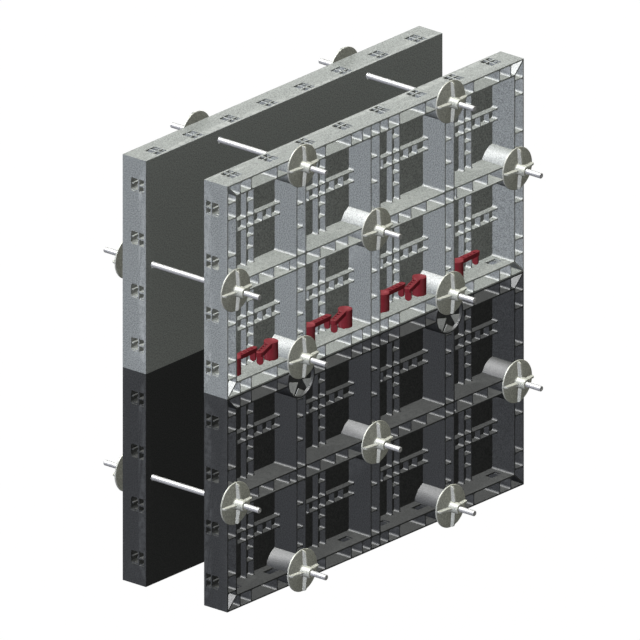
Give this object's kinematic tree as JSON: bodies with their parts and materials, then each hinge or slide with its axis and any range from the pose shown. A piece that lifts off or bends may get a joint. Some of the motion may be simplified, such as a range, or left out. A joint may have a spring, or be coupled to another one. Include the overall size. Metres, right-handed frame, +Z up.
{
  "type": "wall formwork",
  "caption": "Straight reusable wall formwork of ribbed plastic panels on both sides of a wall, tied through by rods with plate nuts and joined by turning keys.",
  "frame": {"origin": "centre of the bounding box on the ground, below the lowest plate nuts", "axes": "+Z up, +X along the wall, -Y towards the front wall's ribs and the keys in the picture"},
  "size_m": [1.258, 0.532, 1.258],
  "materials": {
    "light_grey_plastic": "moulded, fine grain",
    "dark_grey_plastic": "moulded, fine grain",
    "red_plastic": "moulded, satin",
    "rod_steel": "zinc plated",
    "nut_plastic": "cast, plated"
  },
  "bodies": {
    "formwork": {"front_lower_panel": "dark_grey_plastic", "front_upper_panel": "light_grey_plastic", "rear_lower_panel": "dark_grey_plastic", "rear_upper_panel": "light_grey_plastic", "upper_tie_rods": "rod_steel", "lower_tie_rods": "rod_steel", "front_upper_plate_nuts": "nut_plastic", "front_lower_plate_nuts": "nut_plastic", "rear_upper_plate_nuts": "nut_plastic", "rear_lower_plate_nuts": "nut_plastic"},
    "front_key_1": {"front_key_1": "red_plastic"},
    "front_key_2": {"front_key_2": "red_plastic"},
    "front_key_3": {"front_key_3": "red_plastic"},
    "front_key_4": {"front_key_4": "red_plastic"},
    "front_key_5": {"front_key_5": "red_plastic"},
    "front_key_6": {"front_key_6": "red_plastic"},
    "front_key_7": {"front_key_7": "red_plastic"},
    "rear_key_1": {"rear_key_1": "red_plastic"},
    "rear_key_2": {"rear_key_2": "red_plastic"},
    "rear_key_3": {"rear_key_3": "red_plastic"},
    "rear_key_4": {"rear_key_4": "red_plastic"},
    "rear_key_5": {"rear_key_5": "red_plastic"},
    "rear_key_6": {"rear_key_6": "red_plastic"},
    "rear_key_7": {"rear_key_7": "red_plastic"}
  },
  "joints": [
    {"name": "front_key_1_turn", "type": "hinge", "parent": "formwork", "child": "front_key_1", "pos_m": [-0.525, -0.139, 0.668], "axis": [0, 0, 1], "range_deg": [-90, 0]},
    {"name": "front_key_2_turn", "type": "hinge", "parent": "formwork", "child": "front_key_2", "pos_m": [-0.375, -0.139, 0.668], "axis": [0, 0, 1], "range_deg": [0, 73]},
    {"name": "front_key_3_turn", "type": "hinge", "parent": "formwork", "child": "front_key_3", "pos_m": [-0.225, -0.139, 0.668], "axis": [0, 0, 1], "range_deg": [-90, 0]},
    {"name": "front_key_4_turn", "type": "hinge", "parent": "formwork", "child": "front_key_4", "pos_m": [-0.075, -0.139, 0.668], "axis": [0, 0, 1], "range_deg": [0, 73]},
    {"name": "front_key_5_turn", "type": "hinge", "parent": "formwork", "child": "front_key_5", "pos_m": [0.075, -0.139, 0.668], "axis": [0, 0, 1], "range_deg": [-90, 0]},
    {"name": "front_key_6_turn", "type": "hinge", "parent": "formwork", "child": "front_key_6", "pos_m": [0.225, -0.139, 0.668], "axis": [0, 0, 1], "range_deg": [0, 73]},
    {"name": "front_key_7_turn", "type": "hinge", "parent": "formwork", "child": "front_key_7", "pos_m": [0.375, -0.139, 0.668], "axis": [0, 0, 1], "range_deg": [-90, 0]},
    {"name": "rear_key_1_turn", "type": "hinge", "parent": "formwork", "child": "rear_key_1", "pos_m": [0.525, 0.139, 0.668], "axis": [0, 0, 1], "range_deg": [-90, 0]},
    {"name": "rear_key_2_turn", "type": "hinge", "parent": "formwork", "child": "rear_key_2", "pos_m": [0.375, 0.139, 0.668], "axis": [0, 0, 1], "range_deg": [0, 73]},
    {"name": "rear_key_3_turn", "type": "hinge", "parent": "formwork", "child": "rear_key_3", "pos_m": [0.225, 0.139, 0.668], "axis": [0, 0, 1], "range_deg": [-90, 0]},
    {"name": "rear_key_4_turn", "type": "hinge", "parent": "formwork", "child": "rear_key_4", "pos_m": [0.075, 0.139, 0.668], "axis": [0, 0, 1], "range_deg": [0, 73]},
    {"name": "rear_key_5_turn", "type": "hinge", "parent": "formwork", "child": "rear_key_5", "pos_m": [-0.075, 0.139, 0.668], "axis": [0, 0, 1], "range_deg": [-90, 0]},
    {"name": "rear_key_6_turn", "type": "hinge", "parent": "formwork", "child": "rear_key_6", "pos_m": [-0.225, 0.139, 0.668], "axis": [0, 0, 1], "range_deg": [0, 73]},
    {"name": "rear_key_7_turn", "type": "hinge", "parent": "formwork", "child": "rear_key_7", "pos_m": [-0.375, 0.139, 0.668], "axis": [0, 0, 1], "range_deg": [-90, 0]}
  ],
  "couplings": [
    {"joint": "front_key_1_turn", "follows": "front_key_2_turn", "ratio": -1.2325},
    {"joint": "front_key_3_turn", "follows": "front_key_4_turn", "ratio": -1.2325},
    {"joint": "front_key_5_turn", "follows": "front_key_6_turn", "ratio": -1.2325},
    {"joint": "rear_key_1_turn", "follows": "rear_key_2_turn", "ratio": -1.2325},
    {"joint": "rear_key_3_turn", "follows": "rear_key_4_turn", "ratio": -1.2325},
    {"joint": "rear_key_5_turn", "follows": "rear_key_6_turn", "ratio": -1.2325}
  ]
}
